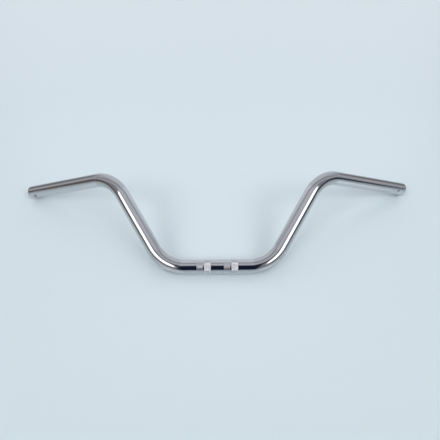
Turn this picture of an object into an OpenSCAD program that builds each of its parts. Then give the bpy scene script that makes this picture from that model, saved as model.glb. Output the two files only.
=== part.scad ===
// Moped handlebar, bent cold from one length of round steel tube and chrome plated.
// It lies as it comes to rest on a bench: on the underside of the clamp seat and on the rims of both grips,
// with the two upper bends standing up. The origin is the middle of the clamp seat, on the tube's centre line,
// with +X along the seat towards one grip, +Y away from the seat towards the upper bends, and +Z up.

/* [Tube] */
// Outside diameter of the tube, which clamps, grips and levers are bored to fit
tube_od = 22; // [20:0.2:25.4]
// Thickness of the tube's wall
tube_wall = 2; // [1.2:0.1:3]
// Size of the bevel that breaks the outer edge of each cut end
end_bevel = 0.8; // [0.3:0.1:1]

/* [Bends] */
// Radius of the tube's centre line in all four bends
bend_r = 55; // [40:1:75]
// How much the bending draws the tube in, off its radius, along each bend
bend_draw = 0.15; // [0.15:0.01:0.25]
// Turn of each lower bend, from the clamp seat into the upright
lower_turn = 59.5; // [45:0.5:75]
// Turn of each upper bend, from the upright into the grip
upper_turn = 62.5; // [45:0.5:80]
// Roll of the tube in the bender between the two, which sweeps the grips back out of the uprights' plane
sweep_roll = 36.5; // [20:0.5:55]

/* [Straight lengths] */
// Straight length in the middle, between the two lower bends
seat_len = 95; // [86:1:160]
// Straight length of each upright
upright_len = 97; // [60:1:160]
// Straight length of each grip, from the end of the upper bend to the cut end
grip_len = 163; // [130:1:220]

/* [Clamp knurls] */
// Distance between the middles of the two knurled zones, one for each half of the stem clamp
zone_pitch = 40; // [30:1:50]
// Width of the lightly rolled band, the first in each zone
light_w = 9; // [6:0.5:9]
// Width of the deeply rolled band, the second in each zone
deep_w = 9.5; // [6:0.5:9.5]
// Plain strip left between the two bands
plain_w = 2; // [1:0.5:4]
// Number of teeth around the tube
teeth = 46; // [24:1:60]
// Height of the teeth on the wheel that rolls them, more than either band's depth, so that lands are left between
tooth_h = 0.55; // [0.55:0.05:0.8]
// Depth of the light band's grooves
light_depth = 0.05; // [0.05:0.05:0.4]
// Depth of the deep band's grooves
deep_depth = 0.15; // [0.1:0.05:0.5]

/* [Locating holes] */
// Diameter of the hole drilled through one wall of each grip
hole_d = 5; // [3:0.5:7]
// Distance of the left hole from its cut end
hole_back_left = 16; // [12:0.5:60]
// Turn of the left hole around the grip, from the side that faces the upper bend's centre
hole_turn_left = 312; // [0:1:359]
// Distance of the right hole from its cut end
hole_back_right = 20; // [12:0.5:60]
// Turn of the right hole, measured the same way on its own side
hole_turn_right = 291; // [0:1:359]

/* [Hidden] */
$fn = 96;
chrome = "#c9ced6";
tube_r = tube_od / 2;
bore_r = tube_r - tube_wall;
overrun = 1;
taper_len = 2;
taper_drop = bend_draw + 0.1;
lap_turn = 1;

// Run of the centre line on the right half, before the bar is tilted to lie down: X along the seat,
// Y up the uprights, Z out of the uprights' plane
seat_dir = [1, 0, 0];
upright_dir = [cos(lower_turn), sin(lower_turn), 0];
roll_dir = [sin(lower_turn) * cos(sweep_roll), -cos(lower_turn) * cos(sweep_roll), -sin(sweep_roll)];
grip_dir = cos(upper_turn) * upright_dir + sin(upper_turn) * roll_dir;
upright_start = seat_len / 2 * seat_dir + bend_r * [sin(lower_turn), 1 - cos(lower_turn), 0];
grip_start = upright_start + upright_len * upright_dir
    + bend_r * (sin(upper_turn) * upright_dir + (1 - cos(upper_turn)) * roll_dir);

// Tilt about the seat at which the seat's underside and the lowest points of both rims share one plane.
// The rim touches where its bevel starts. A first tilt sets that point's centre level with the seat's,
// and a second lowers it by as much as the sloping grip lifts its rim.
rim_centre = grip_start + (grip_len - end_bevel) * grip_dir;
level_tilt = atan2(-rim_centre[2], rim_centre[1]);
grip_slope = asin(-grip_dir[1] * sin(level_tilt) - grip_dir[2] * cos(level_tilt));
rim_lift = tube_r * (1 - cos(grip_slope));
rest_tilt = level_tilt - asin(rim_lift / norm([rim_centre[1], rim_centre[2]]));

// Straight rod of radius r and length h along +X
module rod(r, h) {
    rotate([0, 90, 0]) cylinder(r = r, h = h);
}

// Straight rod as above, and past each end a short taper that carries it into the narrower bend
module straight(r, h) {
    rotate([0, 90, 0]) rotate_extrude() polygon([
        [0, -taper_len],
        [r - taper_drop, -taper_len],
        [r, 0],
        [r, h],
        [r - taper_drop, h + taper_len],
        [0, h + taper_len]
    ]);
}

// Rod of radius r, drawn in by its bending, that leaves the origin along +X and turns towards +Y. Both ends lap
// into the tapers beside them. The children carry on from its end, in a frame that has turned with it
module bend(r, turn) {
    translate([0, bend_r, 0]) {
        rotate([0, 0, -90 - lap_turn]) rotate_extrude(angle = turn + 2 * lap_turn)
            translate([bend_r, 0]) circle(r = r - bend_draw);
        rotate([0, 0, turn]) translate([0, -bend_r, 0]) children();
    }
}

// Follows the right half's centre line from the end of the seat. The children stand at the start of the grip
module to_grip(r) {
    translate([seat_len / 2, 0, 0]) bend(r, lower_turn) {
        straight(r, upright_len);
        translate([upright_len, 0, 0]) rotate([180 + sweep_roll, 0, 0]) bend(r, upper_turn) children();
    }
}

// Both halves, with the children at the start of each grip. $side is 1 on the right and -1 on the left
module both_arms(r) {
    for (side = [1, -1]) mirror([side < 0 ? 1 : 0, 0, 0]) {
        $side = side;
        to_grip(r) children();
    }
}

// Solid grip with the taper at its start and its cut end bevelled
module grip() {
    rotate([0, 90, 0]) rotate_extrude() polygon([
        [0, -taper_len],
        [tube_r - taper_drop, -taper_len],
        [tube_r, 0],
        [tube_r, grip_len - end_bevel],
        [tube_r - end_bevel, grip_len],
        [0, grip_len]
    ]);
}

// Drill for one locating hole, from the centre line out through one wall
module hole_drill(back, turn) {
    translate([grip_len - back, 0, 0]) rotate([turn - 90, 0, 0]) cylinder(d = hole_d, h = tube_od);
}

// What the rolling wheel takes out of a band of width w, along +X: straight V grooves, side by side around the
// tube, with lands of the tube's own surface between them
module knurl_cutter(w, depth) {
    outline = [for (i = [0 : 2 * teeth - 1])
        let (rho = tube_r - depth + (i % 2) * tooth_h, a = 180 * i / teeth) rho * [cos(a), sin(a)]];
    difference() {
        rod(tube_r + overrun, w);
        translate([-overrun, 0, 0]) rotate([0, 90, 0]) linear_extrude(height = w + 2 * overrun) polygon(outline);
    }
}

// The seat. Each knurled zone has a light band, a plain strip and a deep band, always in that order
module seat() {
    zone_w = light_w + plain_w + deep_w;
    difference() {
        translate([-seat_len / 2, 0, 0]) straight(tube_r, seat_len);
        for (start = [-zone_pitch - zone_w, zone_pitch - zone_w] / 2) {
            translate([start, 0, 0]) knurl_cutter(light_w, light_depth);
            translate([start + light_w + plain_w, 0, 0]) knurl_cutter(deep_w, deep_depth);
        }
    }
}

module handlebar_tube() {
    color(chrome) rotate([rest_tilt, 0, 0]) difference() {
        union() {
            seat();
            both_arms(tube_r) grip();
        }
        translate([-seat_len / 2, 0, 0]) straight(bore_r, seat_len);
        both_arms(bore_r) {
            straight(bore_r, grip_len);
            if ($side > 0) hole_drill(hole_back_right, hole_turn_right);
            else hole_drill(hole_back_left, hole_turn_left);
        }
    }
}

handlebar_tube();
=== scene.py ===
# %% [markdown]
# A moped handlebar, remade from one photograph. It is one length of round steel tube, bent cold in four
# places, knurled where the stem clamps it, drilled near both cut ends and chrome plated. A tube like this
# could be a curve with a bevel, but then its knurls, its holes and its wall would need other tools. Here
# the whole skin is one grid: rings around the tube, carried along its centre line, outside, over the rim
# and back through the bore.

# %% Load the frame
import math

import bpy
import numpy as np
from mathutils import Matrix, Vector


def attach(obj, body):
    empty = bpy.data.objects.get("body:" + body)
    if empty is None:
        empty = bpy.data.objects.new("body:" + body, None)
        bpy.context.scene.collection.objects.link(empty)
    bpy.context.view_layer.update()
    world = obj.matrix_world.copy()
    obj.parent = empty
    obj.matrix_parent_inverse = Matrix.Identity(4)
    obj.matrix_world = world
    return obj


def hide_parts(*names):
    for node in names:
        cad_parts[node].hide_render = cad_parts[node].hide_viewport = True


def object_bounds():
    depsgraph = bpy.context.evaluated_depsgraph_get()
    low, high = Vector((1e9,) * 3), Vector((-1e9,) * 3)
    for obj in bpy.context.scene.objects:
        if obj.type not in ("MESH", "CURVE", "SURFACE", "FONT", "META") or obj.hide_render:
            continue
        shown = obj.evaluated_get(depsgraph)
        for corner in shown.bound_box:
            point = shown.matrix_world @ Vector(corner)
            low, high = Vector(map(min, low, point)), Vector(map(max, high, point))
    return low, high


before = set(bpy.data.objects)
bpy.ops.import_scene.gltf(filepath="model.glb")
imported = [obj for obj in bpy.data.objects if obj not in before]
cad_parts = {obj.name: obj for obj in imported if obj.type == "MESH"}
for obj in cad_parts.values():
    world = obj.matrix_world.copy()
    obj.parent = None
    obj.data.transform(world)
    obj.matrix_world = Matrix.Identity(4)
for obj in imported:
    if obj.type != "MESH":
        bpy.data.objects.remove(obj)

cad_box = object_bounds()
print("the solid reaches from", tuple(cad_box[0]), "to", tuple(cad_box[1]))

# %% [markdown]
# A bent tube is fully told by a few numbers, as a tube bender's setting card tells it: straight, turn,
# roll, straight, turn, straight. They are repeated here from the solid, in metres and radians, so that
# the skin lies where the solid lies, and nothing is fitted by hand.

# %% The tube's own measures
MM = 0.001
TUBE_R = 11 * MM
BORE_R = 9 * MM
END_BEVEL = 0.8 * MM
BEND_R = 55 * MM
BEND_DRAW = 0.15 * MM
LOWER_TURN = math.radians(59.5)
UPPER_TURN = math.radians(62.5)
SWEEP_ROLL = math.radians(36.5)
SEAT_LEN = 95 * MM
UPRIGHT_LEN = 97 * MM
GRIP_LEN = 163 * MM

# Distances along the centre line from the middle of the seat to where each stretch of one arm begins
LOWER_START = SEAT_LEN / 2
LOWER_END = LOWER_START + BEND_R * LOWER_TURN
UPPER_START = LOWER_END + UPRIGHT_LEN
UPPER_END = UPPER_START + BEND_R * UPPER_TURN
HALF_LEN = UPPER_END + GRIP_LEN
print(f"the tube is {2 * HALF_LEN:.4f} m long before it is bent")

# %% [markdown]
# The centre line could be built stretch by stretch, each starting where the last one ends. Whole arrays
# are shorter: every stretch adds its own term, which grows while the point is on that stretch and then
# stays as it is. Two square directions go along with the line. They turn only with the bends, so the grid
# isn't twisted.

# %% The centre line and its two square directions
ACROSS = np.array([1.0, 0.0, 0.0])
ALONG_SEAT_PLANE = np.array([0.0, 1.0, 0.0])
OUT_OF_PLANE = np.array([0.0, 0.0, 1.0])
UPRIGHT_WAY = math.cos(LOWER_TURN) * ACROSS + math.sin(LOWER_TURN) * ALONG_SEAT_PLANE
ROLL_WAY = (math.cos(SWEEP_ROLL) * (math.sin(LOWER_TURN) * ACROSS - math.cos(LOWER_TURN) * ALONG_SEAT_PLANE)
            - math.sin(SWEEP_ROLL) * OUT_OF_PLANE)


def flat_line(s):
    """Centre point and two square directions at signed distances s, before the bar is tilted to lie down.

    With a and b the angles turned so far in the lower and the upper bend, the point is the straight run, plus
    R (sin a, 1 - cos a) in the seat's plane, plus the upright's run, plus R (sin b, 1 - cos b) in the rolled
    plane, plus the grip's run. The left arm is the mirror image of the right one.
    """
    run = np.abs(s)[..., None]
    a = (np.clip(run, LOWER_START, LOWER_END) - LOWER_START) / BEND_R
    b = (np.clip(run, UPPER_START, UPPER_END) - UPPER_START) / BEND_R
    upright_run = np.clip(run, LOWER_END, UPPER_START) - LOWER_END
    grip_run = np.maximum(run, UPPER_END) - UPPER_END
    grip_way = math.cos(UPPER_TURN) * UPRIGHT_WAY + math.sin(UPPER_TURN) * ROLL_WAY
    point = (np.minimum(run, LOWER_START) * ACROSS
             + BEND_R * (np.sin(a) * ACROSS + (1 - np.cos(a)) * ALONG_SEAT_PLANE)
             + upright_run * UPRIGHT_WAY
             + BEND_R * (np.sin(b) * UPRIGHT_WAY + (1 - np.cos(b)) * ROLL_WAY)
             + grip_run * grip_way)
    turned = (np.cos(b) - 1) * ROLL_WAY - np.sin(b) * UPRIGHT_WAY
    inward = np.cos(a) * ALONG_SEAT_PLANE - np.sin(a) * ACROSS - math.cos(SWEEP_ROLL) * turned
    outward = OUT_OF_PLANE - math.sin(SWEEP_ROLL) * turned
    mirror = np.where(s[..., None] < 0, [-1.0, 1.0, 1.0], [1.0, 1.0, 1.0])
    return point * mirror, inward * mirror, outward * mirror


grip_end, _, _ = flat_line(np.array(HALF_LEN))
print("before the tilt a cut end lies at", grip_end.round(4))

# %% [markdown]
# Left alone on a bench, the bar rolls over until the seat and the rims of both grips touch it. The tilt
# comes from where those rims are: first their centres are set level with the seat's, then they go down by
# as much as the sloping grips lift their rims.

# %% The tilt at which the bar lies still
rim_centre, _, _ = flat_line(np.array(HALF_LEN - END_BEVEL))
level_tilt = math.atan2(-rim_centre[2], rim_centre[1])
grip_way = (grip_end - rim_centre) / END_BEVEL
grip_slope = math.asin(-grip_way[1] * math.sin(level_tilt) - grip_way[2] * math.cos(level_tilt))
rim_lift = TUBE_R * (1 - math.cos(grip_slope))
REST_TILT = level_tilt - math.asin(rim_lift / math.hypot(rim_centre[1], rim_centre[2]))
TILT = np.array(Matrix.Rotation(REST_TILT, 3, "X")).T
print(f"tilt {math.degrees(REST_TILT):.3f} degrees, grips slope {math.degrees(grip_slope):.2f} degrees")


def on_tube(s, theta, rho):
    """Points at distance s along the tube, angle theta round it and rho out: centre + rho (cos i + sin o)."""
    centre, inward, outward = flat_line(s)
    spoke = np.cos(theta)[..., None] * inward + np.sin(theta)[..., None] * outward
    return (centre + rho[..., None] * spoke) @ TILT


# %% [markdown]
# The knurls are rolled in by wheels with slanting teeth, so no metal is cut away: two sets of V grooves
# cross and leave diamonds between them. Each clamp half has a lightly rolled band and a deeply rolled
# one. In the grid the grooves run exactly along diagonals, four squares to a diamond, so every crest and
# every groove is a true edge. A groove is at least two squares wide there, so the light band is made
# shallower than in the solid, to keep its slopes as gentle. A bump in the material would be lighter, but
# it is flat at the silhouette and in the mesh files.

# %% The knurled bands
TEETH = 46
SIDES = 4 * TEETH
ZONE_PITCH = 40 * MM
LIGHT_W = 9 * MM
DEEP_W = 9.5 * MM
PLAIN_W = 2 * MM
TOOTH_H = 0.55 * MM
LIGHT_DEPTH = 0.025 * MM
DEEP_DEPTH = 0.15 * MM
DIAMONDS = 6
BAND_STEPS = 4 * DIAMONDS
ZONE_W = LIGHT_W + PLAIN_W + DEEP_W

zone_starts = [(-ZONE_PITCH - ZONE_W) / 2, (ZONE_PITCH - ZONE_W) / 2]
bands = []
for zone_start in zone_starts:
    bands.append((zone_start, LIGHT_W, LIGHT_DEPTH))
    bands.append((zone_start + LIGHT_W + PLAIN_W, DEEP_W, DEEP_DEPTH))


def peak(x):
    """A zigzag: 0 at whole numbers, 1 halfway between them."""
    return 1 - np.abs(2 * (x % 1) - 1)


def knurl(s, theta, start, width, depth):
    """How far one band lies under the tube's own surface at distance s and angle theta, as a number below 0.

    The grooves lie where turn + slide or turn - slide is whole, and the metal rises to TOOTH_H halfway to
    the next one. What would stand above the tube stays level with it. The first and last steps of the band
    run out to 0.
    """
    turn = theta * TEETH / (2 * math.pi)
    slide = (s - start) / width * DIAMONDS
    rise = TOOTH_H * np.minimum(peak(turn + slide), peak(turn - slide))
    edge = np.minimum(s - start, start + width - s)
    runout = np.clip(edge / (width / BAND_STEPS), 0, 1)
    return np.minimum(rise - depth, 0) * runout


print(f"{len(bands)} bands, each with {DIAMONDS} rows of {TEETH} diamonds")

# %% [markdown]
# Where a tube is bent cold it is drawn in a little, by about a seventh of a millimetre here. The change
# comes on smoothly over the first few millimetres of each bend, and shows as a slow bow in the
# reflections.

# %% How the bends draw the tube in
DRAW_REACH = 12 * MM


def smooth(x):
    """A step that leaves 0 and reaches 1 without a kink: 3 x squared less 2 x cubed, between 0 and 1."""
    x = np.clip(x, 0, 1)
    return x * x * (3 - 2 * x)


def drawn_in(s):
    """The radius lost at distance s: BEND_DRAW in each bend, with a smooth step at both of its ends."""
    run = np.abs(s)
    lower = smooth((run - LOWER_START) / DRAW_REACH) * smooth((LOWER_END - run) / DRAW_REACH)
    upper = smooth((run - UPPER_START) / DRAW_REACH) * smooth((UPPER_END - run) / DRAW_REACH)
    return BEND_DRAW * (lower + upper)


print(f"the bends are drawn in by {drawn_in(LOWER_START + DRAW_REACH) / MM:.2f} mm")

# %% [markdown]
# The rings come next. They are close together in the bends and in the bands, and far apart where the tube
# is straight. One more ring lies close outside each edge of a band, so that the smooth shading of the
# plain tube ends there. Near each end ten of them are spaced for the drilled hole.

# %% Where the rings lie
HOLE_R = 2.5 * MM
HOLE_BACK = {1: 20 * MM, -1: 16 * MM}
PATCH_LEN = 7.5 * MM
PATCH_STEPS = 10
STRAIGHT_STEPS = 4
OUTER_BEND_STEPS = 30
BORE_BEND_STEPS = 20
BAND_MARGIN = 0.2 * MM


def steps(start, end, count):
    """count evenly spaced values from start on, without end itself."""
    return np.linspace(start, end, count, endpoint=False)


def arm_rings(way, bend_steps, end):
    """Distances of the rings of one arm, from the end of the seat to just short of end, times its way."""
    hole_at = HALF_LEN - HOLE_BACK[way]
    patch_start = hole_at - PATCH_LEN / 2
    patch_end = hole_at + PATCH_LEN / 2
    return way * np.concatenate([
        steps(LOWER_START, LOWER_END, bend_steps),
        steps(LOWER_END, UPPER_START, STRAIGHT_STEPS),
        steps(UPPER_START, UPPER_END, bend_steps),
        steps(UPPER_END, patch_start, STRAIGHT_STEPS),
        steps(patch_start, patch_end, PATCH_STEPS),
        steps(patch_end, end, STRAIGHT_STEPS),
    ])


def seat_rings():
    """Distances of the seat's rings: two steps in each plain stretch, and the bands' own steps."""
    found = []
    reached = -LOWER_START
    for start, width, _ in bands:
        found.append(steps(reached, start - BAND_MARGIN, 2))
        found.append([start - BAND_MARGIN])
        found.append(steps(start, start + width, BAND_STEPS))
        found.append([start + width])
        reached = start + width + BAND_MARGIN
    found.append(steps(reached, LOWER_START, 2))
    return np.concatenate(found)[1:]


print(f"{len(seat_rings())} rings on the seat")

# %% [markdown]
# Each rim is a short profile: a bevel outside, the flat cut end, and the edge of the bore. Plating never
# leaves a sharp edge, so each corner becomes three points. Then all rings follow each other in one closed
# round trip: outside from left to right, over the right rim, back through the bore, and over the left
# rim.

# %% The rims and the round trip
CORNER_REACH = 0.15 * MM


def rounded(corners, reach):
    """An outline with each inner corner made three points: one reach before it, one near it, one after it."""
    before, here, after = corners[:-2], corners[1:-1], corners[2:]
    back = before - here
    ahead = after - here
    start = here + reach * back / np.linalg.norm(back, axis=1, keepdims=True)
    end = here + reach * ahead / np.linalg.norm(ahead, axis=1, keepdims=True)
    return np.stack([start, (start + 2 * here + end) / 4, end], axis=1).reshape(-1, 2)


rim = rounded(np.array([
    (HALF_LEN - 2 * END_BEVEL, TUBE_R),
    (HALF_LEN - END_BEVEL, TUBE_R),
    (HALF_LEN, TUBE_R - END_BEVEL),
    (HALF_LEN, BORE_R),
    (HALF_LEN - 2 * END_BEVEL, BORE_R),
]), CORNER_REACH)
outer_s = np.concatenate([
    arm_rings(-1, OUTER_BEND_STEPS, rim[0, 0])[::-1],
    seat_rings(),
    arm_rings(1, OUTER_BEND_STEPS, rim[0, 0]),
])
bore_s = np.concatenate([
    arm_rings(1, BORE_BEND_STEPS, rim[-1, 0])[::-1],
    arm_rings(-1, BORE_BEND_STEPS, rim[-1, 0]),
])
ring_s = np.concatenate([outer_s, rim[:, 0], bore_s, -rim[::-1, 0]])
base_r = np.concatenate([
    TUBE_R - drawn_in(outer_s),
    rim[:, 1],
    BORE_R - drawn_in(bore_s),
    rim[::-1, 1],
])
RINGS = len(ring_s)
OUTER_RINGS = len(outer_s)
BORE_FIRST = OUTER_RINGS + len(rim)
print(f"{RINGS} rings of {SIDES} points, {OUTER_RINGS} of them outside")

# %% [markdown]
# The grid is kept in unbent coordinates for now: distance along the tube, angle round it, and radius. So
# the knurls and the holes can be worked out on a straight tube, and everything is bent in one step at the
# end.

# %% The grid of points
theta = np.arange(SIDES) * 2 * math.pi / SIDES
grid_s, grid_theta = np.meshgrid(ring_s, theta, indexing="ij")
grid_r = np.repeat(base_r[:, None], SIDES, axis=1)
outside = np.arange(RINGS)[:, None] < OUTER_RINGS
for start, width, depth in bands:
    grid_r += np.where(outside, knurl(grid_s, grid_theta, start, width, depth), 0)
point_s = [grid_s.ravel()]
point_theta = [grid_theta.ravel()]
point_r = [grid_r.ravel()]
point_count = RINGS * SIDES
print(f"{point_count} points, the deepest groove {(TUBE_R - grid_r[:OUTER_RINGS].min()) / MM:.2f} mm deep")

# %% [markdown]
# Every square of the grid becomes a face, apart from the two windows around the holes. In the bands a
# square is split into two triangles, along the diagonal that a groove or a crest follows, which changes
# from each square to the next like the fields of a chessboard.

# %% The faces between the rings
ring, side = np.meshgrid(np.arange(RINGS), np.arange(SIDES), indexing="ij")
next_ring = (ring + 1) % RINGS
next_side = (side + 1) % SIDES
square = np.stack([
    ring * SIDES + side,
    ring * SIDES + next_side,
    next_ring * SIDES + next_side,
    next_ring * SIDES + side,
], axis=-1)

band_step = np.full(RINGS, -1)
for start, _, _ in bands:
    first = int(np.argmin(np.abs(outer_s - start)))
    band_step[first:first + BAND_STEPS] = np.arange(BAND_STEPS)
in_band = band_step[ring] >= 0
even = (band_step[ring] + side) % 2 == 0

HOLE_TURNS = {1: math.radians(291), -1: math.radians(312)}
PATCH_SIDES = 20
kept = np.ones((RINGS, SIDES), bool)
windows = []
for way, turn in HOLE_TURNS.items():
    hole_s = way * (HALF_LEN - HOLE_BACK[way])
    hole_theta = (turn + math.pi + SWEEP_ROLL) % (2 * math.pi)
    middle = round(hole_theta / (2 * math.pi) * SIDES)
    columns = np.arange(middle - PATCH_SIDES // 2, middle + PATCH_SIDES // 2 + 1)
    near = np.abs(ring_s - hole_s) < PATCH_LEN / 2 + PATCH_LEN / PATCH_STEPS / 2
    found = np.flatnonzero(near)
    outer_rings = found[found < OUTER_RINGS]
    bore_rings = found[found >= BORE_FIRST][::-1]
    kept[outer_rings[:-1, None], columns[None, :-1]] = False
    kept[bore_rings[1:, None], columns[None, :-1]] = False
    windows.append((hole_s, hole_theta, outer_rings, bore_rings, columns))

plain_faces = square[kept & ~in_band]
even_squares = square[kept & in_band & even]
odd_squares = square[kept & in_band & ~even]
band_faces = np.concatenate([
    even_squares[:, [0, 1, 2]],
    even_squares[:, [0, 2, 3]],
    odd_squares[:, [0, 1, 3]],
    odd_squares[:, [1, 2, 3]],
])
print(f"{len(plain_faces)} plain squares and {len(band_faces)} knurl triangles")

# %% [markdown]
# Each grip has one locating hole, drilled through its front wall to take the pin of a switch housing. A
# Boolean would leave long thin faces that shade badly on chrome. Instead the window in the grid is filled
# by loops that pass from its square border to the drill's circle, over a small rounded edge, through the
# wall, and out again to the window's border in the bore.

# %% The drilled holes
EDGE_R = 0.2 * MM
LOOPS_TO_CIRCLE = 3
EDGE_TURNS = np.radians([30, 60, 90])


def border(rings, columns):
    """Point numbers around a window, from its first ring and column on, once round."""
    block = rings[:, None] * SIDES + columns[None, :]
    return np.concatenate([block[0, :-1], block[:-1, -1], block[-1, :0:-1], block[:0:-1, 0]])


def ring_faces(loops):
    """Squares between each loop of points and the next."""
    outer, inner = loops[:-1], loops[1:]
    return np.stack([outer, np.roll(outer, -1, 1), np.roll(inner, -1, 1), inner], axis=-1).reshape(-1, 4)


def add_loop(s, theta, rho):
    """Adds one loop of points to the tube and returns their numbers."""
    global point_count
    point_s.append(s)
    point_theta.append(theta)
    point_r.append(np.full(len(s), rho))
    point_count += len(s)
    return np.arange(point_count - len(s), point_count)


def drill_circle(centre_s, centre_theta, bearing, radius, rho):
    """A circle on the drill's own cylinder, where it meets the round tube at rho from the tube's centre.

    Along the tube it is radius cos(bearing). Around it, rho sin(angle) has to equal radius sin(bearing).
    """
    return centre_s + radius * np.cos(bearing), centre_theta + np.arcsin(radius * np.sin(bearing) / rho)


hole_faces = []
for hole_s, hole_theta, outer_rings, bore_rings, columns in windows:
    loops = {}
    for name, rings, rho in [("outer", outer_rings, TUBE_R), ("bore", bore_rings, BORE_R)]:
        edge = border(rings, columns)
        edge_s = grid_s.ravel()[edge]
        edge_theta = grid_theta.ravel()[edge]
        bearing = np.arctan2(TUBE_R * (edge_theta - hole_theta), edge_s - hole_s)
        reach = HOLE_R + EDGE_R if name == "outer" else HOLE_R
        circle_s, circle_theta = drill_circle(hole_s, hole_theta, bearing, reach, rho)
        found = [edge]
        for share in np.arange(1, LOOPS_TO_CIRCLE + 1) / LOOPS_TO_CIRCLE:
            found.append(add_loop(edge_s + share * (circle_s - edge_s),
                                  edge_theta + share * (circle_theta - edge_theta), rho))
        if name == "outer":
            for turn in EDGE_TURNS:
                radius = reach - EDGE_R * math.sin(turn)
                depth = EDGE_R * (1 - math.cos(turn))
                found.append(add_loop(*drill_circle(hole_s, hole_theta, bearing, radius, rho - depth),
                                      rho - depth))
        loops[name] = found
    hole_faces.append(ring_faces(np.array(loops["outer"] + loops["bore"][::-1])))
hole_faces = np.concatenate(hole_faces)
print(f"{len(hole_faces)} squares around and through the holes")

# %% [markdown]
# All points are bent into place, and all faces join them in one closed mesh. The triangles of the knurls
# are shaded flat, which keeps their edges crisp, and all other faces smoothly. Two values stay on the
# points for the material: where the point lay on the straight tube, and how deeply it was rolled.

# %% The tube as one mesh
all_s = np.concatenate(point_s)
all_theta = np.concatenate(point_theta)
all_r = np.concatenate(point_r)
places = on_tube(all_s, all_theta, all_r)
faces = plain_faces.tolist() + hole_faces.tolist() + band_faces.tolist()
skin = bpy.data.meshes.new("chrome_tube")
skin.from_pydata(places.tolist(), [], faces)
is_smooth = np.ones(len(faces), bool)
is_smooth[len(plain_faces) + len(hole_faces):] = False
skin.polygons.foreach_set("use_smooth", is_smooth)

unbent = np.stack([all_s, all_r * np.cos(all_theta), all_r * np.sin(all_theta)], axis=1)
skin.attributes.new("unbent", "FLOAT_VECTOR", "POINT").data.foreach_set("vector", unbent.ravel())
rolled = np.zeros(len(all_s))
for start, width, depth in bands:
    rolled[(all_s >= start) & (all_s <= start + width) & (all_r > BORE_R + MM)] = depth / DEEP_DEPTH
skin.attributes.new("rolled", "FLOAT", "POINT").data.foreach_set("value", rolled)
tube = bpy.data.objects.new("chrome_tube", skin)
bpy.context.scene.collection.objects.link(tube)
mended = skin.validate(verbose=True)
print("mesh mended by its own test:", mended, "box", places.min(0), places.max(0))

# %% [markdown]
# A shader is arithmetic on sockets, and long chains of Math nodes are hard to read. A small class lets
# Python's own operators add those nodes, so that a mask can be written as a sum or a product.

# %% Shader arithmetic
class Wire:
    """One output socket of a shader tree. Arithmetic on it adds Math nodes to the tree."""

    def __init__(self, tree, socket):
        self.tree = tree
        self.socket = socket

    def math(self, operation, first, second):
        return self.tree.math(operation, first, second)

    def __add__(self, other):
        return self.math("ADD", self, other)

    __radd__ = __add__

    def __sub__(self, other):
        return self.math("SUBTRACT", self, other)

    def __rsub__(self, other):
        return self.math("SUBTRACT", other, self)

    def __mul__(self, other):
        return self.math("MULTIPLY", self, other)

    __rmul__ = __mul__

    def __truediv__(self, other):
        return self.math("DIVIDE", self, other)

    def __abs__(self):
        return self.math("ABSOLUTE", self, 0.0)


class Tree:
    """A shader tree that is filled by calls: a node's type, its settings, then the values of its sockets."""

    def __init__(self, owner):
        owner.use_nodes = True
        self.nodes = owner.node_tree.nodes
        self.links = owner.node_tree.links
        self.nodes.clear()

    def add(self, kind, settings=None, sockets=None, output=0):
        node = self.nodes.new(kind)
        for name, value in (settings or {}).items():
            setattr(node, name, value)
        for name, value in (sockets or {}).items():
            if isinstance(value, Wire):
                self.links.new(value.socket, node.inputs[name])
            else:
                node.inputs[name].default_value = value
        return Wire(self, node.outputs[output]) if len(node.outputs) else node

    def math(self, operation, first, second=0.0):
        """One Math node."""
        return self.add("ShaderNodeMath", {"operation": operation}, {0: first, 1: second})

    def split(self, vector):
        """The three parts of a vector."""
        apart = self.nodes.new("ShaderNodeSeparateXYZ")
        self.links.new(vector.socket, apart.inputs[0])
        return [Wire(self, part) for part in apart.outputs]

    def ramp(self, value, start, end):
        """0 below start, 1 above end, smooth between them. start may be the larger one."""
        return self.add("ShaderNodeMapRange", {"interpolation_type": "SMOOTHSTEP"},
                        {"Value": value, "From Min": start, "From Max": end})

    def mix(self, factor, first, second):
        """A colour between two."""
        return self.add("ShaderNodeMix", {"data_type": "RGBA"}, {0: factor, 6: first, 7: second}, 2)


# %% [markdown]
# Bright chrome shows its surroundings, so its own colour is only a slightly cool grey. What tells it
# apart from a perfect mirror is small: fine lines along the tube from the polishing belt, a faint haze
# where hands and cloths have been, tiny pits, and the bottoms of the deep grooves in the knurls, which
# are coloured a little darker. The rolled bands are frosted, which spreads what they reflect, so they
# stand out pale where the smooth tube is dark. The plating hardly reaches into the bore, which stays
# dull steel. All of it is read in unbent coordinates, so it follows the bends.

# %% The chrome
GREY_PLATING = (0.58, 0.59, 0.61, 1)
PALE_PLATING = (0.64, 0.65, 0.67, 1)
ROLLED_PLATING = (0.70, 0.70, 0.73, 1)
# The dark colour that the pits and the bottoms of the deep knurl grooves are mixed towards
PIT_AND_GROOVE_DARK = (0.2, 0.19, 0.18, 1)
DARK_STEEL = (0.16, 0.15, 0.14, 1)
DULL_STEEL = (0.28, 0.25, 0.22, 1)
# How far the bottoms of the deep knurl grooves are coloured towards the dark colour
GROOVE_DARKENING = 0.2
PIT_DIRT = 0.6

# Noise scales along the tube and twice across it, per metre
BELT_SCALE = (60, 4000, 4000)
HAZE_SCALE = (25, 90, 90)
PIT_SCALE = (1400, 1400, 1400)

# Roughness of the bare plating, and what each mark adds to it
PLATING_ROUGH = 0.04
HAZE_ROUGH = 0.05
BELT_ROUGH = 0.02
ROLLED_ROUGH = 0.22
DEEP_ROUGH = 0.04
BORE_ROUGH = 0.35
BELT_DEPTH = 0.02 * MM
BELT_STRENGTH = 0.05

# Where each smooth step begins and ends: the bore and the grooves by radius, the rest by a mark or a noise
BORE_STARTS = (10 * MM, 9.2 * MM)
GROOVE_STARTS = (10.97 * MM, 10.85 * MM)
ROLLED_STARTS = (0.0, 0.1)
HAZE_STARTS = (0.4, 0.8)
PITS_START = (0.74, 0.8)
PITTED_HAZE = (0.5, 0.65)


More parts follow.
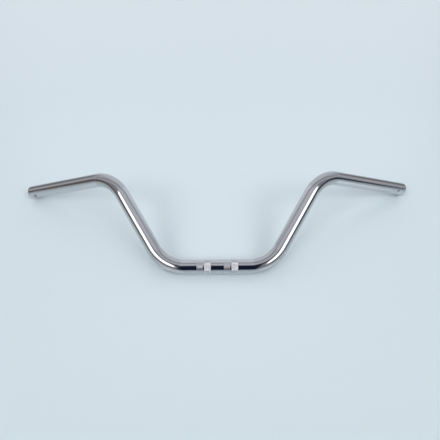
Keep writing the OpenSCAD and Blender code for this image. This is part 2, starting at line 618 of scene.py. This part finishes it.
def chrome_finish():
    material = bpy.data.materials.new("chrome")
    tree = Tree(material)
    unbent_place = tree.add("ShaderNodeAttribute", {"attribute_name": "unbent"}, output="Vector")
    rolled_mark = tree.add("ShaderNodeAttribute", {"attribute_name": "rolled"}, output="Fac")
    _, sideways, upward = tree.split(unbent_place)
    radius = tree.math("SQRT", sideways * sideways + upward * upward)
    bore = tree.ramp(radius, *BORE_STARTS)
    groove = tree.ramp(radius, *GROOVE_STARTS) * (1 - bore)

    def noise(scale, detail=2.0):
        stretched = tree.add("ShaderNodeMapping", {}, {"Vector": unbent_place, "Scale": scale})
        return tree.add("ShaderNodeTexNoise", {}, {"Vector": stretched, "Scale": 1.0, "Detail": detail})

    belt_lines = noise(BELT_SCALE)
    haze = noise(HAZE_SCALE, 4.0)
    pits = tree.ramp(noise(PIT_SCALE, 1.0), *PITS_START) * tree.ramp(haze, *PITTED_HAZE)
    plating = tree.mix(haze, GREY_PLATING, PALE_PLATING)
    plating = tree.mix(rolled_mark, plating, ROLLED_PLATING)
    # The bottoms of the deep knurl grooves and the pits are coloured darker
    darkened_plating = tree.mix(groove * GROOVE_DARKENING + pits * PIT_DIRT, plating, PIT_AND_GROOVE_DARK)
    steel = tree.mix(haze, DARK_STEEL, DULL_STEEL)
    colour = tree.mix(bore, darkened_plating, steel)
    rolled_rough = tree.ramp(rolled_mark, *ROLLED_STARTS) * ROLLED_ROUGH + rolled_mark * DEEP_ROUGH
    haze_rough = tree.ramp(haze, *HAZE_STARTS) * HAZE_ROUGH
    rough = PLATING_ROUGH + haze_rough + belt_lines * BELT_ROUGH + rolled_rough + bore * BORE_ROUGH
    bump = tree.add("ShaderNodeBump", {}, {
        "Strength": BELT_STRENGTH,
        "Distance": BELT_DEPTH,
        "Height": belt_lines,
    })
    shader = tree.add("ShaderNodeBsdfPrincipled", {}, {
        "Base Color": colour,
        "Metallic": 1.0,
        "Roughness": rough,
        "Normal": bump,
    })
    tree.add("ShaderNodeOutputMaterial", {}, {"Surface": shader})
    return material


skin.materials.append(chrome_finish())
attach(tube, "root")
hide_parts("handlebar_tube")
print("tube rides on the root body and stands for the solid")

# %% [markdown]
# The bar lies on a plain pale table. Its plane goes through the lowest points of the solid, so the seat
# and both rims touch it. It is a little glossy, as the real one is, and takes a soft dark line where the
# bar rests.

# %% The table
FLOOR_HALF = 6.0
TABLE_COLOUR = (0.78, 0.90, 0.94, 1)
floor_z = cad_box[0].z


def flat_piece(name, corners):
    """One four-cornered face as an object."""
    mesh = bpy.data.meshes.new(name)
    mesh.from_pydata(corners, [], [(0, 1, 2, 3)])
    piece = bpy.data.objects.new(name, mesh)
    bpy.context.scene.collection.objects.link(piece)
    return piece


floor = flat_piece("table_top", [
    (-FLOOR_HALF, -FLOOR_HALF, floor_z),
    (FLOOR_HALF, -FLOOR_HALF, floor_z),
    (FLOOR_HALF, FLOOR_HALF, floor_z),
    (-FLOOR_HALF, FLOOR_HALF, floor_z),
])

table_paint = bpy.data.materials.new("table_paint")
table_tree = Tree(table_paint)
table_shader = table_tree.add("ShaderNodeBsdfPrincipled", {}, {
    "Base Color": TABLE_COLOUR,
    "Roughness": 0.4,
    "IOR": 1.5,
    "Coat Weight": 1.0,
    "Coat Roughness": 0.22,
    "Coat IOR": 1.5,
})
table_tree.add("ShaderNodeOutputMaterial", {}, {"Surface": table_shader})
floor.data.materials.append(table_paint)
print(f"the table lies at {floor_z:.4f} m")

# %% [markdown]
# Chrome is lit by what it reflects, so the studio is built for its reflections. A pale board stands
# behind the bar, and only reflections see it. It is a real piece and not painted on the world, because it
# stands so near that the grips and the seat see it in different places. Its light fades out towards its
# edges, and for rays that start close to it, so that the glossy table doesn't mirror it as a sharp line.

# %% The board behind the bar
BOARD_Y = 0.605
BOARD_HALF = 0.62
BOARD_TOP = 1.25
BOARD_FADE = 0.16
UNSEEN_WITHIN = 0.02
FULL_FROM = 0.4
BOARD_COLOUR = (0.74, 0.77, 0.82, 1)

board = flat_piece("pale_board", [
    (-BOARD_HALF, BOARD_Y, floor_z),
    (BOARD_HALF, BOARD_Y, floor_z),
    (BOARD_HALF, BOARD_Y, BOARD_TOP),
    (-BOARD_HALF, BOARD_Y, BOARD_TOP),
])
board.visible_camera = False
board.visible_diffuse = False
board.visible_shadow = False

board_light = bpy.data.materials.new("board_light")
board_tree = Tree(board_light)
board_place = board_tree.add("ShaderNodeTexCoord", output="Object")
board_x, _, board_z = board_tree.split(board_place)
ray_length = board_tree.add("ShaderNodeLightPath", output="Ray Length")
board_solid = (board_tree.ramp(abs(board_x), BOARD_HALF, BOARD_HALF - BOARD_FADE)
               * board_tree.ramp(board_z, BOARD_TOP, BOARD_TOP - BOARD_FADE)
               * board_tree.ramp(ray_length, UNSEEN_WITHIN, FULL_FROM))
board_glow = board_tree.add("ShaderNodeEmission", {}, {"Color": BOARD_COLOUR, "Strength": 1.0})
board_clear = board_tree.add("ShaderNodeBsdfTransparent")
board_blend = board_tree.add("ShaderNodeMixShader", {}, {0: board_solid, 1: board_clear, 2: board_glow})
board_tree.add("ShaderNodeOutputMaterial", {}, {"Surface": board_blend})
board.data.materials.append(board_light)
print(f"the board reaches {BOARD_TOP} m up, {BOARD_Y} m behind the seat")

# %% [markdown]
# All else in the studio is far away, so it is painted on the world and worked out from direction alone:
# dim walls that grow paler upwards, a grey ceiling with a darker strip across it, a dark spot low on each
# side, two large soft lights in front of the bar, and a dark gap between them, where the camera stands.
# Each of them makes one of the lines that run along the tube. The camera itself sees a plain pale ground.

# %% The studio
DIM_WALL = (0.22, 0.22, 0.23, 1)
PALE_WALL = (0.58, 0.60, 0.64, 1)
SIDE_PATCH = (0.48, 0.48, 0.50, 1)
CEILING = (0.60, 0.60, 0.65, 1)
CEILING_STRIP = (0.36, 0.37, 0.40, 1)
FRONT_WALL = (0.30, 0.30, 0.32, 1)
LEFT_DARK = (0.15, 0.12, 0.11, 1)
RIGHT_DARK = (0.05, 0.055, 0.07, 1)
LEFT_LIGHT = (5.0, 4.9, 4.9, 1)
RIGHT_LIGHT = (5.0, 5.0, 5.1, 1)
DARK_GAP = (0.01, 0.015, 0.036, 1)
SEEN_GROUND = (0.80, 0.84, 0.88, 1)

# Where each patch lies in degrees: its middle, its half width and how soft its edge is. Bearings are 0 behind
# the bar and grow to the right, and backward ones are 0 behind the camera and grow to the left
SIDE_PATCH_BEARING = (73, 7, 6)
BOARD_BEARING = (0, 26, 8)
LEFT_DARK_BEARING = (-100, 10, 9)
RIGHT_DARK_BEARING = (103, 8, 8)
LIGHTS_HEIGHT = (40, 1, 18)
LEFT_LIGHT_BACKWARD = (38, 20, 6)
RIGHT_LIGHT_BACKWARD = (-45, 19, 6)
GAP_BACKWARD = (0, 13, 5)

# The same for the strip across the ceiling, whose places are told by run over rise
STRIP_SLOPE = (0.3, 0.1, 0.12)

# Where each smooth step begins and ends: heights in degrees, a slope, and a share of the way to the front
WALL_PALES = (12, 34)
CEILING_STARTS = (0.6, 0.4)
FRONT_STARTS = (0.0, -0.15)
FRONT_TOP = (64, 56)
DARKS_TOP = (22, 12)
GAP_TOP = (75, 58)
LEAST_RISE = 0.02
DEGREES = 180 / math.pi


def panel(tree, place, middle, half, soft):
    """1 where place is within half of middle, falling smoothly to 0 over the next soft."""
    return tree.ramp(abs(place - middle), half + soft, half)


def studio():
    world = bpy.data.worlds.new("studio")
    tree = Tree(world)
    x, y, z = tree.split(tree.add("ShaderNodeTexCoord", output="Generated"))
    height = tree.math("ARCSINE", z) * DEGREES
    bearing = tree.math("ARCTAN2", x, y) * DEGREES
    backward = tree.math("ARCTAN2", 0 - x, 0 - y) * DEGREES

    wall = tree.mix(tree.ramp(height, *WALL_PALES), DIM_WALL, PALE_WALL)
    room = tree.mix(panel(tree, abs(bearing), *SIDE_PATCH_BEARING), wall, SIDE_PATCH)
    room = tree.mix(panel(tree, bearing, *BOARD_BEARING), room, BOARD_COLOUR)
    slope = y / tree.math("MAXIMUM", z, LEAST_RISE)
    ceiling = tree.mix(panel(tree, slope, *STRIP_SLOPE), CEILING, CEILING_STRIP)
    room = tree.mix(tree.ramp(slope, *CEILING_STARTS), room, ceiling)
    front = tree.ramp(y, *FRONT_STARTS) * tree.ramp(height, *FRONT_TOP)
    room = tree.mix(front, room, FRONT_WALL)
    low = tree.ramp(height, *DARKS_TOP)
    room = tree.mix(panel(tree, bearing, *LEFT_DARK_BEARING) * low, room, LEFT_DARK)
    room = tree.mix(panel(tree, bearing, *RIGHT_DARK_BEARING) * low, room, RIGHT_DARK)
    lights = panel(tree, height, *LIGHTS_HEIGHT)
    room = tree.mix(panel(tree, backward, *LEFT_LIGHT_BACKWARD) * lights, room, LEFT_LIGHT)
    room = tree.mix(panel(tree, backward, *RIGHT_LIGHT_BACKWARD) * lights, room, RIGHT_LIGHT)
    gap = panel(tree, backward, *GAP_BACKWARD) * tree.ramp(height, *GAP_TOP)
    room = tree.mix(gap, room, DARK_GAP)
    seen = tree.add("ShaderNodeLightPath", output="Is Camera Ray")
    ground = tree.mix(seen, room, SEEN_GROUND)
    glow = tree.add("ShaderNodeBackground", {}, {"Color": ground, "Strength": 1.0})
    tree.add("ShaderNodeOutputWorld", {}, {"Surface": glow})
    bpy.context.scene.world = world
    print(f"the studio takes {len(tree.nodes)} nodes")


studio()
bpy.context.scene.view_settings.view_transform = "Standard"

# %% [markdown]
# The camera stands where the photograph was taken: in front of the seat, about half a metre above the
# table and looking down at it. Its place was found from the bar's own edges, so the frame needs no shift.

# %% The camera
CAMERA_PLACE = Vector((3.32, -429.42, 494.15)) * MM
PITCH = math.radians(42.945)
YAW = math.radians(0.138)
ROLL = math.radians(-0.402)
PHOTO_WIDTH_PX = 440
FOCAL_PX = 439.65
SENSOR_MM = 36

forward = Vector((math.sin(YAW) * math.cos(PITCH), math.cos(YAW) * math.cos(PITCH), -math.sin(PITCH)))
level_right = Vector((math.cos(YAW), -math.sin(YAW), 0))
level_up = level_right.cross(forward)
right = math.cos(ROLL) * level_right + math.sin(ROLL) * level_up
up = math.cos(ROLL) * level_up - math.sin(ROLL) * level_right
lens = bpy.data.cameras.new("camera")
lens.sensor_width = SENSOR_MM
lens.lens = SENSOR_MM * FOCAL_PX / PHOTO_WIDTH_PX
camera = bpy.data.objects.new("camera", lens)
camera.matrix_world = Matrix.Translation(CAMERA_PLACE) @ Matrix((right, up, -forward)).transposed().to_4x4()
bpy.context.scene.collection.objects.link(camera)
bpy.context.scene.camera = camera
print(f"camera {CAMERA_PLACE.z - floor_z:.3f} m above the table, with a lens of {lens.lens:.1f} mm")
